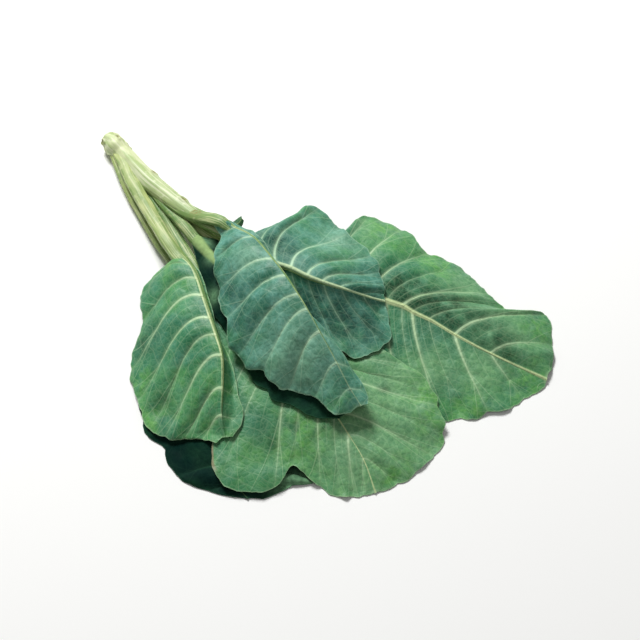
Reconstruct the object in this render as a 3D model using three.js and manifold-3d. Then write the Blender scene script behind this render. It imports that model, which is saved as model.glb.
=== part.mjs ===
// A cut bunch of collard greens, lying as it was put down: a short piece of stalk
// and the leaves that grow from it, each with its stem and midrib in one piece.
// Millimetres, +Z up. +X runs from the cut end of the stalk to the leaf tips.
import * as THREE from 'three';
import { mergeVertices } from 'three/addons/utils/BufferGeometryUtils.js';
import Module from 'manifold-3d';

const wasm = await Module();
wasm.setup();

// Leaf blades
const BLADE = 1.1; // thickness
const THINNEST = 0.9; // thickness left where a blade is pressed on the table
const CLEAR = 1.5; // air between a leaf and the one that it lies on
const PUFF = 4.2; // how far a blade swells up between two side veins
const SCALLOP = 2.5; // how far the margin stands out between two side veins
const UNEVEN = 0.6; // how much those two differ from one pair of veins to the next
const BROAD = 45; // length of side vein from which a blade puffs and waves in full
const ROOMY = 26; // distance between two side veins from which it does so too
const VEINS_PER_WAVE = 2.3; // side veins to one wave of the margin
const PAIR_TURN = 2.4; // turn, in radians, from one pair of veins to the next in how uneven they are
const SIDE_TURN = 3; // the same from the -Y side to the middle, and on to the +Y side
const BOW_SCALE = 6.75; // brings the highest point of u (1 - u)^2 to 1
const PUFF_ROUND = 0.7; // below 1 a blade swells up early on its way from midrib to margin
const STEPS_PER_VEIN = 3;
const ACROSS = [-1, -0.83, -0.6, -0.34, -0.1, 0, 0.1, 0.34, 0.6, 0.83, 1];

// Leaf stems and midribs
const MIDRIB_END = 0.86; // share of the blade's length that the raised midrib runs
const MIDRIB_THIN = 0.9; // radius at its far end
const MIDRIB_TAPER = 0.8; // below 1 the midrib thins out late, above 1 early
const RIB_SINK = 0.35; // how far the midrib's centre lies under the blade, in radii
const RIB_ROUND = 0.85; // height below the centre, in radii
const RIB_FLAT = 0.6; // height above the centre, in radii
const STEM_SIDES = 8;
const STEM_STEP = 13;
const LINES_PER_RING = 2; // lines of the blade to one ring of the midrib
const SLIVER = 0.03; // detail smaller than this is smoothed out of a finished leaf
const FIT_GAP = 0.3; // between a stem and what it grows from or is pressed against

// Stalk
const STALK_SIDES = 16;
const STALK_STEP = 9;
const SCAR_SIDES = 7;
const SCAR_RINGS = 5;
const SCAR_STRETCH = [1.3, 1, 0.7]; // a scar's size along, across and up, in its own radii
const SCAR_DEPTH = 0.86; // how far out the middle of a scar lies, in stalk radii

// The relief map of everything that has been laid down so far
const CELL = 3;
const MAP_X = [-40, 620];
const MAP_Y = [-280, 240];
const SETTLE_PASSES = 26;
const STEEPEST = 0.2; // least upward share of a blade's normal that its thickness is worked out with
const EASE_PASSES = [5, 10, 15];

const COLOURS = {
  stalk: 0xb9c592,
  left: 0x558a5e,
  centre: 0x4d8270,
  upper: 0x4a7d64,
  right: 0x558e5c,
  front: 0x4f8656,
  tucked: 0x2c5c3e,
  under: 0x224c36,
  inner: 0x528a56,
};

// The stalk from its cut end: centre x, y, z and radius
const STALK = [
  [-5, 2, 9.2, 9.4],
  [4, 2, 10.6, 11.2],
  [11, 1, 11, 12.2],
  [22, 0, 10.2, 10.8],
  [41, -3, 11, 11.4],
  [77, -8, 15.5, 11.6],
  [112, -10, 21.5, 10.8],
  [140, -11, 27, 9.4],
  [160, -11, 32, 7],
];

// Scars of leaves that were picked off: share of the way along, turn round the stalk, size
const SCARS = [
  [0.03, 150, 4.2],
  [0.06, 40, 4],
  [0.14, 200, 5],
  [0.2, 60, 3.4],
  [0.37, 20, 4],
  [0.62, 35, 4.6],
  [0.84, 50, 5],
];

// Each leaf, lowest first. A row is a pair of side veins: where it leaves the midrib, and
// where it meets the margin on the +Y side and on the -Y side. The first row is the foot of
// the blade and the last is its tip. The stem runs from inside the stalk to the blade's foot.
// A wave is the margin's height and phase. Bow and fall are for the +Y and the -Y side: how far
// a side vein sags back towards the stem, as a share of its length, and how the blade drops
// from midrib to margin, below 1 early and above 1 late. Arch and puff are for the two sides
// too: how far the whole side swells up, and how much it swells between veins against PUFF.
const LEAVES = [
  {
    name: 'under',
    radius: 5.2,
    wave: [3, 2.2],
    bow: [0.1, 0.1],
    fall: [1.35, 1.35],
    arch: [0, 0],
    puff: [1, 1],
    stem: [[6, -2, 10], [22, -10, 9], [43, -20, 9], [70, -31, 8], [109, -44, 8], [151, -57, 10]],
    rows: [
      [[192, -63, 12], [193, -59, 11], [191, -67, 11]],
      [[223, -85, 11], [235, -58, 6], [205, -109, 4]],
      [[258, -110, 10], [288, -65, 4], [228, -149, 0]],
      [[294, -133, 9], [345, -77, 2], [256, -185, -1]],
      [[327, -154, 8], [392, -95, 0], [284, -211, -2]],
      [[359, -173, 7], [431, -116, -2], [316, -219, -2]],
      [[387, -188, 5], [460, -132, -2], [355, -228, -2]],
      [[406, -195, 3], [446, -156, -1], [389, -218, -2]],
      [[424, -197, 1], [435, -186, -1], [414, -204, -1]],
    ],
  },
  {
    name: 'right',
    radius: 6.6,
    wave: [4, 3.1],
    bow: [0.08, 0.04],
    fall: [1.5, 1.3],
    arch: [9, 0],
    puff: [0.6, 0.3],
    stem: [[76, -9, 15], [112, -10, 19], [146, -13, 21], [182, -13, 23], [228, -1, 28]],
    rows: [
      [[274, 25, 32], [273, 32, 31], [276, 21, 31]],
      [[302, 31, 33], [284, 92, 22], [359, -22, 12]],
      [[326, 39, 33], [285, 126, 16], [403, -36, 9]],
      [[346, 45, 32], [320, 144, 12], [437, -37, 6]],
      [[362, 51, 30], [362, 140, 9], [459, -31, 5]],
      [[378, 57, 28], [401, 156, 7], [476, -22, 4]],
      [[393, 65, 26], [443, 148, 5], [491, -11, 3]],
      [[405, 68, 24], [465, 151, 4], [504, 2, 2]],
      [[423, 74, 22], [485, 159, 3], [519, 20, 1]],
      [[454, 81, 18], [501, 174, 2], [534, 43, 0]],
      [[494, 93, 12], [530, 151, 1], [551, 82, -1]],
      [[554, 115, 3], [549, 130, 0], [557, 108, 0]],
    ],
  },
  {
    name: 'front',
    radius: 6.8,
    wave: [4, 1.3],
    bow: [0.1, 0.05],
    fall: [1.35, 1.35],
    arch: [3, 1],
    puff: [0.4, 0.35],
    stem: [[44, -5, 11], [72, -13, 12], [103, -21, 13], [139, -32, 14], [174, -44, 16]],
    rows: [
      [[208, -55, 18], [209, -50, 17], [207, -60, 17]],
      [[246, -65, 21], [258, -30, 16], [252, -92, 14]],
      [[285, -70, 23], [316, -20, 14], [314, -123, 11]],
      [[318, -69, 25], [380, 2, 11], [354, -177, 6]],
      [[342, -68, 27], [440, 18, 7], [390, -204, 2]],
      [[362, -68, 27], [476, 18, 5], [436, -171, 2]],
      [[382, -69, 27], [496, 10, 4], [434, -142, 6]],
      [[404, -71, 25], [517, -8, 2], [467, -137, 1]],
      [[428, -75, 21], [525, -32, 0], [487, -129, -1]],
      [[453, -81, 17], [526, -58, -1], [498, -120, -2]],
      [[480, -88, 11], [521, -80, -2], [505, -113, -3]],
      [[512, -103, 1], [516, -96, -1], [508, -110, -1]],
    ],
  },
  {
    name: 'tucked',
    radius: 6.6,
    wave: [3, 0.4],
    bow: [0.1, 0.1],
    fall: [1.35, 1.35],
    arch: [0, 0],
    puff: [1, 1],
    stem: [[62, -9, 15], [96, -15, 18], [125, -20, 21], [158, -26, 27]],
    rows: [
      [[176, -29, 28], [176, -25, 27], [176, -34, 27]],
      [[200, -34, 32], [199, -14, 30], [199, -49, 26]],
      [[234, -39, 37], [242, -12, 31], [232, -66, 28]],
      [[277, -48, 38], [292, -14, 31], [284, -88, 27]],
      [[322, -57, 38], [342, -20, 30], [326, -101, 26]],
      [[361, -64, 36], [384, -27, 26], [361, -108, 24]],
      [[390, -69, 33], [413, -37, 24], [389, -101, 23]],
      [[415, -71, 29], [433, -50, 23], [415, -93, 22]],
      [[436, -71, 24], [438, -66, 22], [435, -77, 22]],
    ],
  },
  {
    name: 'upper',
    radius: 6.4,
    wave: [4.5, 2.6],
    bow: [0.12, 0.05],
    fall: [1.4, 0.75],
    arch: [4, 0],
    puff: [0.9, 0.5],
    stem: [[92, -10, 19], [126, -13, 25], [158, -12, 32], [190, -8, 39]],
    rows: [
      [[222, -2, 45], [221, 4, 44], [223, -7, 44]],
      [[248, -2, 52], [234, 57, 35], [272, -25, 40]],
      [[272, -3, 57], [244, 89, 29], [318, -31, 33]],
      [[291, 2, 61], [295, 83, 28], [358, -27, 28]],
      [[311, 6, 63], [332, 81, 28], [388, -21, 25]],
      [[327, 13, 61], [352, 73, 29], [404, -6, 22]],
      [[343, 23, 56], [365, 66, 30], [412, 18, 21]],
      [[362, 37, 46], [373, 61, 31], [399, 38, 22]],
      [[379, 53, 32], [375, 57, 31], [385, 49, 30]],
    ],
  },
  {
    name: 'left',
    radius: 8,
    wave: [4, 1.9],
    bow: [0.05, 0.17],
    fall: [0.7, 1.3],
    arch: [0, 0],
    puff: [1, 0.85],
    stem: [[14, 0, 11], [35, -9, 15], [61, -21, 18], [95, -33, 22], [131, -45, 27], [158, -54, 31]],
    rows: [
      [[181, -60, 34], [181, -55, 33], [180, -65, 33]],
      [[203, -63, 42], [201, -55, 26], [170, -92, 12]],
      [[221, -70, 44], [220, -61, 22], [199, -133, 6]],
      [[241, -81, 46], [238, -71, 20], [232, -180, 2]],
      [[267, -95, 48], [263, -85, 20], [265, -199, 0]],
      [[286, -105, 48], [283, -96, 20], [298, -211, -1]],
      [[307, -117, 47], [307, -106, 19], [316, -209, -1]],
      [[331, -140, 38], [342, -129, 16], [332, -198, 1]],
      [[349, -159, 28], [364, -144, 13], [347, -185, 3]],
      [[365, -170, 15], [370, -164, 11], [362, -180, 8]],
    ],
  },
  {
    name: 'inner',
    radius: 3.4,
    wave: [1.5, 0.2],
    bow: [0.05, 0.05],
    fall: [1.35, 1.35],
    arch: [0, 0],
    puff: [1, 1],
    stem: [[128, -8, 27], [162, -2, 32]],
    rows: [
      [[196, 2, 37], [193, 5, 36], [198, 1, 36]],
      [[200, 6, 41], [195, 9, 40], [204, 5, 39]],
      [[203, 11, 45], [198, 14, 45], [207, 10, 43]],
      [[204, 15, 50], [201, 17, 49], [207, 15, 48]],
    ],
  },
  {
    name: 'centre',
    radius: 7,
    wave: [4, 1.8],
    bow: [0.05, 0.1],
    fall: [0.7, 1.3],
    arch: [0, 0],
    puff: [1, 1],
    stem: [[86, -11, 18], [118, -14, 25], [150, -13, 33]],
    rows: [
      [[185, -6, 46], [185, -2, 45], [185, -11, 45]],
      [[210, -3, 56], [213, 8, 48], [203, -16, 47]],
      [[237, -3, 68], [232, 9, 48], [220, -40, 48]],
      [[277, -13, 80], [272, -3, 50], [246, -61, 44]],
      [[302, -19, 82], [297, -9, 50], [279, -83, 41]],
      [[327, -26, 82], [323, -16, 50], [315, -101, 39]],
      [[345, -31, 80], [343, -20, 48], [348, -102, 37]],
      [[370, -38, 73], [376, -27, 54], [378, -91, 36]],
      [[403, -47, 61], [411, -34, 46], [406, -80, 36]],
      [[429, -54, 49], [439, -41, 40], [429, -79, 35]],
      [[447, -57, 40], [450, -50, 39], [443, -68, 36]],
    ],
  },
];

const mapWide = Math.ceil((MAP_X[1] - MAP_X[0]) / CELL);
const mapDeep = Math.ceil((MAP_Y[1] - MAP_Y[0]) / CELL);

// Calls visit(cell, weights) for each cell of the map whose middle lies under a triangle.
function underTriangle(a, b, c, visit) {
  const turn = (b.x - a.x) * (c.y - a.y) - (c.x - a.x) * (b.y - a.y);
  if (Math.abs(turn) < 1e-9) return;
  const column = (x) => Math.round((x - MAP_X[0]) / CELL);
  const line = (y) => Math.round((y - MAP_Y[0]) / CELL);
  const firstLine = line(Math.min(a.y, b.y, c.y));
  const lastLine = line(Math.max(a.y, b.y, c.y));
  const firstColumn = column(Math.min(a.x, b.x, c.x));
  const lastColumn = column(Math.max(a.x, b.x, c.x));
  for (let j = firstLine; j <= lastLine; j += 1) {
    for (let i = firstColumn; i <= lastColumn; i += 1) {
      const x = MAP_X[0] + i * CELL;
      const y = MAP_Y[0] + j * CELL;
      const wb = ((x - a.x) * (c.y - a.y) - (c.x - a.x) * (y - a.y)) / turn;
      const wc = ((b.x - a.x) * (y - a.y) - (x - a.x) * (b.y - a.y)) / turn;
      const wa = 1 - wb - wc;
      if (Math.min(wa, wb, wc) > -1e-6) visit(j * mapWide + i, [wa, wb, wc]);
    }
  }
}

function layOnMap(map, points, faces) {
  const laid = new Float64Array(map.length);
  for (const [a, b, c] of faces) {
    underTriangle(points[a], points[b], points[c], (cell, [wa, wb, wc]) => {
      const z = wa * points[a].z + wb * points[b].z + wc * points[c].z;
      laid[cell] = Math.max(laid[cell], z);
    });
  }
  // A cell beside the leaf counts as under it, so that nothing slips past the edge.
  for (let cell = 0; cell < map.length; cell += 1) {
    if (!laid[cell]) continue;
    for (const line of [-mapWide, 0, mapWide]) {
      for (const column of [-1, 0, 1]) {
        const next = cell + line + column;
        map[next] = Math.max(map[next], laid[cell]);
      }
    }
  }
}

function rail(points) {
  return new THREE.CatmullRomCurve3(points.map((p) => new THREE.Vector3(...p)));
}

function midribRadius(leaf, t) {
  const left = Math.max(0, 1 - t / MIDRIB_END);
  return MIDRIB_THIN + (leaf.radius - MIDRIB_THIN) * left ** MIDRIB_TAPER;
}

// The middle surface of a blade: lines of points from the -Y margin to the +Y margin.
function bladeSurface(leaf) {
  const [mid, plusSide, minusSide] = [0, 1, 2].map((k) => rail(leaf.rows.map((row) => row[k])));
  const veins = leaf.rows.length - 1;
  const gaps = [0, 1, 2].map((k) => leaf.rows.slice(1).map((row, pair) => (
    new THREE.Vector3(...row[k]).distanceTo(new THREE.Vector3(...leaf.rows[pair][k]))
  )));
  const lines = veins * STEPS_PER_VEIN;
  const [waveHeight, wavePhase] = leaf.wave;
  const surface = [];
  for (let i = 0; i <= lines; i += 1) {
    const t = i / lines;
    const root = mid.getPoint(t);
    const along = mid.getTangent(t).setZ(0).normalize();
    surface.push(ACROSS.map((across) => {
      const side = across > 0 ? 1 : -1;
      const u = Math.abs(across);
      const edge = (side > 0 ? plusSide : minusSide).getPoint(t);
      const shape = [leaf.bow, leaf.fall, leaf.arch, leaf.puff];
      const [bow, fall, arch, puff] = shape.map(([plus, minus]) => (side > 0 ? plus : minus));
      const pair = Math.min(veins - 1, Math.floor(i / STEPS_PER_VEIN));
      const [atMid, atEdge] = [gaps[0][pair], gaps[side > 0 ? 1 : 2][pair]];
      const room = Math.min(1, (atMid * (1 - u) + atEdge * u) / ROOMY);
      const uneven = 1 + UNEVEN * Math.sin(PAIR_TURN * pair + SIDE_TURN * side + wavePhase);
      const between = Math.abs(Math.sin(Math.PI * t * veins)) * uneven * room;
      const out = edge.clone().sub(root).setZ(0);
      const reach = out.length();
      const full = Math.min(1, reach / BROAD);
      const wave = Math.sin((2 * Math.PI * t * veins) / VEINS_PER_WAVE + wavePhase * side + side);
      const point = root.clone().addScaledVector(out, u);
      point.addScaledVector(out, (u ** 4 * SCALLOP * full * between) / reach);
      point.addScaledVector(along, -bow * reach * BOW_SCALE * u * (1 - u) ** 2);
      point.z = root.z + (edge.z - root.z) * u ** fall;
      point.z += full * arch * Math.sin(Math.PI * u);
      point.z += full * puff * PUFF * between * Math.sin(Math.PI * u) ** PUFF_ROUND;
      point.z += full * waveHeight * u ** 3 * wave;
      return point;
    }));
  }
  return surface;
}

// Two triangles for each cell of the grid, with the shorter way across left to the grid's twist.
function gridFaces(lines, columns) {
  const faces = [];
  for (let i = 0; i + 1 < lines; i += 1) {
    for (let j = 0; j + 1 < columns; j += 1) {
      const a = i * columns + j;
      const [b, c, d] = [a + columns, a + columns + 1, a + 1];
      if (j * 2 < columns - 1) faces.push([a, b, c], [a, c, d]);
      else faces.push([a, b, d], [b, c, d]);
    }
  }
  return faces;
}

function gridNormals(points, faces) {
  const normals = points.map(() => new THREE.Vector3());
  for (const [a, b, c] of faces) {
    const normal = points[b].clone().sub(points[a]).cross(points[c].clone().sub(points[a]));
    for (const k of [a, b, c]) normals[k].add(normal);
  }
  return normals.map((normal) => (normal.z < 0 ? normal.negate() : normal).normalize());
}

// Raises a blade until it lies clear on what is under it, and lets the raised parts ease out.
function settle(leaf, map) {
  const surface = bladeSurface(leaf);
  const lines = surface.length;
  const columns = ACROSS.length;
  const middle = ACROSS.indexOf(0);
  const points = surface.flat();
  const faces = gridFaces(lines, columns);
  const start = points.map((p) => p.z);
  const lift = new Float64Array(points.length);
  const rib = points.map((_, k) => {
    const depth = k % columns === middle ? midribRadius(leaf, Math.floor(k / columns) / (lines - 1)) : 0;
    return depth * (RIB_SINK + RIB_ROUND);
  });
  for (let pass = 0; pass < SETTLE_PASSES; pass += 1) {
    const normals = gridNormals(points, faces);
    const room = rib.map((depth, k) => depth + BLADE / 2 / Math.max(normals[k].z, STEEPEST));
    const raise = new Float64Array(points.length);
    for (const face of faces) {
      underTriangle(...face.map((k) => points[k]), (cell, weights) => {
        if (!map[cell]) return;
        const low = face.reduce((sum, k, n) => sum + weights[n] * (points[k].z - room[k]), 0);
        const short = map[cell] + CLEAR - low;
        if (short <= 0) return;
        const total = weights.reduce((sum, w) => sum + w * w, 0);
        face.forEach((k, n) => {
          raise[k] = Math.max(raise[k], (short * weights[n]) / total);
        });
      });
    }
    for (let k = 0; k < points.length; k += 1) lift[k] += raise[k];
    if (EASE_PASSES.includes(pass)) easeOut(lift, lines, columns);
    for (let k = 0; k < points.length; k += 1) {
      points[k].z = Math.max(start[k] + lift[k], rib[k]);
    }
  }
  return { points, faces, lines, columns, middle };
}

function easeOut(lift, lines, columns) {
  const before = lift.slice();
  for (let i = 0; i < lines; i += 1) {
    for (let j = 0; j < columns; j += 1) {
      let sum = 0;
      let count = 0;
      for (const [di, dj] of [[-1, 0], [1, 0], [0, -1], [0, 1]]) {
        if (i + di < 0 || i + di >= lines || j + dj < 0 || j + dj >= columns) continue;
        sum += before[(i + di) * columns + j + dj];
        count += 1;
      }
      lift[i * columns + j] = Math.max(before[i * columns + j], sum / count);
    }
  }
}

// The blade as a closed sheet: both faces are split into the same triangles.
function bladeSolid({ points, faces, lines, columns }) {
  const normals = gridNormals(points, faces);
  const top = points.map((p, k) => p.clone().addScaledVector(normals[k], BLADE / 2));
  const bottom = points.map((p, k) => p.clone().addScaledVector(normals[k], -BLADE / 2));
  for (let k = 0; k < points.length; k += 1) {
    bottom[k].z = Math.max(bottom[k].z, 0);
    top[k].z = Math.max(top[k].z, bottom[k].z + THINNEST);
  }
  const count = points.length;
  const rim = [];
  for (let j = 0; j < columns; j += 1) rim.push(j);
  for (let i = 1; i < lines; i += 1) rim.push(i * columns + columns - 1);
  for (let j = columns - 2; j >= 0; j -= 1) rim.push((lines - 1) * columns + j);
  for (let i = lines - 2; i > 0; i -= 1) rim.push(i * columns);
  const shell = [];
  for (const [a, b, c] of faces) shell.push([a, b, c], [a + count, c + count, b + count]);
  rim.forEach((a, n) => {
    const b = rim[(n + 1) % rim.length];
    shell.push([a, b, a + count], [b, b + count, a + count]);
  });
  return { solid: solidFrom([...top, ...bottom], shell), top };
}

function solidFrom(points, faces) {
  const vertProperties = new Float32Array(points.flatMap((p) => [p.x, p.y, p.z]));
  const make = (list) => new wasm.Manifold(
    new wasm.Mesh({ numProp: 3, vertProperties, triVerts: new Uint32Array(list.flat()) }),
  );
  const solid = make(faces);
  return solid.volume() > 0 ? solid : make(faces.map(([a, b, c]) => [a, c, b]));
}

// A round or flattened bar along a list of { point, radius }, a little fatter if grow is given.
function bar(path, sides, low, high, grow = 0) {
  const points = [];
  const faces = [];
  path.forEach(({ point, radius }, n) => {
    const ahead = path[Math.min(n + 1, path.length - 1)].point;
    const behind = path[Math.max(n - 1, 0)].point;
    const along = ahead.clone().sub(behind).normalize();
    const aside = new THREE.Vector3(0, 0, 1).cross(along).normalize();
    const up = along.clone().cross(aside);
    const middle = point.clone();
    if (n === 0) middle.addScaledVector(along, -grow);
    if (n === path.length - 1) middle.addScaledVector(along, grow);
    for (let k = 0; k < sides; k += 1) {
      const turn = (2 * Math.PI * (k + 0.5)) / sides;
      const rise = Math.sin(turn) * (Math.sin(turn) > 0 ? high : low) * radius;
      const wide = Math.cos(turn) * radius;
      points.push(middle.clone()
        .addScaledVector(aside, wide + Math.sign(wide) * grow)
        .addScaledVector(up, rise + Math.sign(rise) * grow));
    }
  });
  for (let n = 0; n + 1 < path.length; n += 1) {
    for (let k = 0; k < sides; k += 1) {
      const [a, b] = [n * sides + k, n * sides + ((k + 1) % sides)];
      faces.push([a, b, b + sides], [a, b + sides, a + sides]);
    }
  }
  const last = (path.length - 1) * sides;
  for (let k = 1; k + 1 < sides; k += 1) {
    faces.push([0, k + 1, k], [last, last + k, last + k + 1]);
  }
  return { points, faces };
}

// The path of a leaf's stem, from inside the stalk to the blade and on under its midrib.
function stemPath(leaf, blade) {
  const rib = [];
  for (let i = 0; i < blade.lines; i += LINES_PER_RING) {
    const t = i / (blade.lines - 1);
    if (t > MIDRIB_END) break;
    const radius = midribRadius(leaf, t);
    const point = blade.points[i * blade.columns + blade.middle].clone();
    point.z -= radius * RIB_SINK;
    rib.push({ point, radius });
  }
  const curve = rail([...leaf.stem, rib[0].point.toArray()]);
  const steps = Math.round(curve.getLength() / STEM_STEP);
  const stem = curve.getSpacedPoints(steps).map((point) => ({ point, radius: leaf.radius }));
  return [...stem, ...rib.slice(1)];
}

function stalkPath() {
  const curve = rail(STALK);
  const radii = rail(STALK.map((p) => [p[3], 0, 0]));
  const steps = Math.round(curve.getLength() / STALK_STEP);
  const path = [];
  for (let n = 0; n <= steps; n += 1) {
    path.push({ point: curve.getPoint(n / steps), radius: radii.getPoint(n / steps).x });
  }
  return path;
}

function onTable({ points, faces }) {
  for (const p of points) p.z = Math.max(p.z, 0);
  return solidFrom(points, faces);
}

// The swollen scar of a leaf that was picked off, a little larger if grow is given.
function scar([share, turn, radiusOfScar], path, grow = 0) {
  const size = radiusOfScar + grow;
  const { point, radius } = path[Math.round(share * (path.length - 1))];
  const angle = THREE.MathUtils.degToRad(turn);
  const geometry = new THREE.SphereGeometry(size, SCAR_SIDES, SCAR_RINGS);
  geometry.scale(...SCAR_STRETCH);
  geometry.translate(
    point.x,
    point.y + Math.cos(angle) * radius * SCAR_DEPTH,
    point.z + Math.sin(angle) * radius * SCAR_DEPTH,
  );
  geometry.deleteAttribute('normal');
  geometry.deleteAttribute('uv');
  const merged = mergeVertices(geometry, 1e-3);
  return new wasm.Manifold(new wasm.Mesh({
    numProp: 3,
    vertProperties: merged.attributes.position.array,
    triVerts: new Uint32Array(merged.index.array),
  }));
}

function largestPiece(solid) {
  return solid.decompose().reduce((best, piece) => (piece.volume() > best.volume() ? piece : best));
}

function meshOf(name, solid, colour, roughness) {
  const { vertProperties, triVerts } = solid.getMesh();
  const geometry = new THREE.BufferGeometry();
  geometry.setAttribute('position', new THREE.BufferAttribute(vertProperties, 3));
  geometry.setIndex(new THREE.BufferAttribute(triVerts, 1));
  geometry.computeVertexNormals();
  const material = new THREE.MeshStandardMaterial({ color: colour, roughness, metalness: 0 });
  const mesh = new THREE.Mesh(geometry, material);
  mesh.name = name;
  return mesh;
}

const bunch = new THREE.Group();
const map = new Float64Array(mapWide * mapDeep);

// The stalk with its scars, a little fatter if grow is given.
function stalkSolid(path, grow = 0) {
  const plain = onTable(bar(path, STALK_SIDES, 1, 1, grow));
  return SCARS.reduce((solid, spot) => solid.add(scar(spot, path, grow)), plain);
}

function leafSolid(leaf, taken) {
  const blade = settle(leaf, map);
  const { solid, top } = bladeSolid(blade);
  const path = stemPath(leaf, blade);
  const stem = bar(path, STEM_SIDES, RIB_ROUND, RIB_FLAT);
  let whole = solid.add(onTable(stem));
  for (const other of taken) whole = whole.subtract(other);
  taken.push(onTable(bar(path, STEM_SIDES, RIB_ROUND, RIB_FLAT, FIT_GAP)));
  layOnMap(map, top, blade.faces);
  layOnMap(map, stem.points, stem.faces);
  return largestPiece(whole.simplify(SLIVER));
}

const stalkLine = stalkPath();
bunch.add(meshOf('stalk', stalkSolid(stalkLine), COLOURS.stalk, 0.5));
const taken = [stalkSolid(stalkLine, FIT_GAP)];
for (const leaf of LEAVES) {
  bunch.add(meshOf(`leaf_${leaf.name}`, leafSolid(leaf, taken), COLOURS[leaf.name], 0.55));
}

const box = new THREE.Box3().setFromObject(bunch);
const centre = box.getCenter(new THREE.Vector3());
bunch.position.set(-centre.x, -centre.y, -box.min.z);

export default bunch;
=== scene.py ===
import math
from functools import partial

import bmesh
import bpy
import numpy as np
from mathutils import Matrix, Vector, noise


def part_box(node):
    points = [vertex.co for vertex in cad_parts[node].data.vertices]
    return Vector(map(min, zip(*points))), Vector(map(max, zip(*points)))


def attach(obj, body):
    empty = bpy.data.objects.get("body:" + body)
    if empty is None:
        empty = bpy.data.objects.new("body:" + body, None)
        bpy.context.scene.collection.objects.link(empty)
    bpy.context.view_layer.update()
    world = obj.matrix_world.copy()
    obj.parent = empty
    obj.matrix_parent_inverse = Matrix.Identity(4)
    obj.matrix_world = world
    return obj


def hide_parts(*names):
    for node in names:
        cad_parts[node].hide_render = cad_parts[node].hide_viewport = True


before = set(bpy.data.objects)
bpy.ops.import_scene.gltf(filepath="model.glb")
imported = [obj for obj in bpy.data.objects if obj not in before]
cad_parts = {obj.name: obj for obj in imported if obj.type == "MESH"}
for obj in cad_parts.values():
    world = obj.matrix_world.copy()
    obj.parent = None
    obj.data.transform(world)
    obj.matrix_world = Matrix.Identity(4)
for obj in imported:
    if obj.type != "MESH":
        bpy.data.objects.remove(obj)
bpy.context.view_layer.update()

# Lengths below are millimetres in the bunch's own frame, as the solids were drawn:
# +X runs from the cut end of the stalk to the leaf tips, +Z is up.
MM = 0.001

# The photograph's view
LOOK_AT = (343.8, -9.5, 30)
TURN = 44  # degrees round from straight in front
DOWN = 60  # degrees that the camera looks down
LENS = 85
SENSOR = 36
IMAGE = 640
MM_PER_PIXEL = 1.05

# Leaf blades
BLADE = 0.8  # thickness
CLEAR = 1.9  # air between a leaf and the one that it lies on
PUFF = 4.2  # how far a blade swells up between two side veins
PUFF_ROUND = 0.7  # below 1 a blade swells up early on its way from midrib to margin
PUFF_BROAD = 0.8  # below 1 it swells up early on its way from one vein to the next
SCALLOP = 2.5  # how far the margin stands out between two side veins
UNEVEN = 0.6  # how much those two differ from one pair of veins to the next
PAIR_TURN = 2.4  # turn, in radians, from one pair of veins to the next in how uneven they are
SIDE_TURN = 3  # the same from the -Y side to the middle, and on to the +Y side
BOW_SCALE = 6.75  # brings the highest point of u (1 - u)^2 to 1
VEINS_PER_WAVE = 2.3  # side veins to one wave of the margin
BROAD = 45  # length of side vein from which a blade puffs and waves in full
ROOMY = 26  # distance between two side veins from which it does so too
STEPS_PER_VEIN = 18
STEPS_ACROSS = 44  # from the midrib to a margin
CROWDING = 1.4  # how much closer those steps lie beside the midrib
NUDGE = 1e-4  # share of the midrib over which its direction is measured

# Wrinkles of a blade and raggedness of its margin: width and height of the bumps, and what is
# added to the leaf's seed so that no two kinds are alike
RAGGED = [(9, 1.6, 0), (24, 2.6, 5), (5, 0.7, 6)]
WRINKLED = [(13, 1.1, 1), (6, 0.4, 2)]
MARGIN_WAVY = [(17, 4, 3)]
AT_MARGIN = 8  # power that keeps raggedness and nicks at the margin
NEAR_MARGIN = 6  # power that keeps the margin's own wrinkles near it
WRINKLE_START = 6  # wrinkles are in full from one part in so many of the way to the margin

# How a leaf comes to rest on the pile
SETTLE_ROUNDS = 3
EASE_PASSES = 60
STEEPEST = 0.25  # least upward share of a blade's normal that its thickness is worked out with
NO_PILE = -1000  # height that is taken where nothing lies underneath
ON_TABLE = 0.6  # height of a blade's middle above the table, in blade thicknesses

# Leaf stems and midribs
MIDRIB_END = 0.94  # share of the blade's length that the raised midrib runs
MIDRIB_THIN = 0.6  # radius at its far end
MIDRIB_TAPER = 0.8  # below 1 the midrib thins out late, above 1 early
RIB_SINK = (0.35, 0.7)  # how far the midrib's centre lies under the blade, in radii: foot, beyond
RIB_FOOT = 0.12  # share of the blade's length over which it sinks to that
RIB_LEAN = 0.7  # how slim the midrib is beyond the foot, against the solid's
RIB_STAND = 0.7  # how far the midrib's pale line stands out of the upper face, in half widths
RIB_NARROWED = 0.85  # share of the blade's length where that line has its last width
RIB_RETURN = 0.5  # how much paler that line gets from foot to tip
RIB_ROUND = 0.85  # height below the centre, in radii
RIB_FLAT = 0.6  # height above the centre, in radii
LINES_PER_RING = 3  # lines of the blade to one ring of the midrib
STEM_SIDES = 28
STEM_STEP = 4
STEM_RIDGES = 0.035  # height of the fine ridges along a stem, in radii
RIDGES = (9, 5, 0.8)  # fine ridges round a stem, broad ones, and their height against the fine
STEM_LUMPS = [(16, 0.09, 8)]  # width, height in radii, and what is added to the seed
STEM_GREENS = (0.55, 1.2)  # where a stem turns green, in lengths of the stem up to the blade

# Veins of a blade
FORKS = (0.38, 0.72)  # where along a side vein its branches leave it: first and last place
FORK_SPREAD = 0.42  # how far the branches get from it by the margin, in gaps between side veins
RUNG_GAP = 13  # distance between two of the cross veins that join side veins
RUNG_BENT = [(15, 0.35, 7)]  # width and height of their bends in gaps, and what is added to the seed
# Pale spots are painted light and deep spots painted shade; fresh and worn are the leaf's own colour.
SPOTS = {"fresh": 1, "worn": 1, "pale": 1, "deep": 2}  # the most that overlapping spots come to

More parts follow.
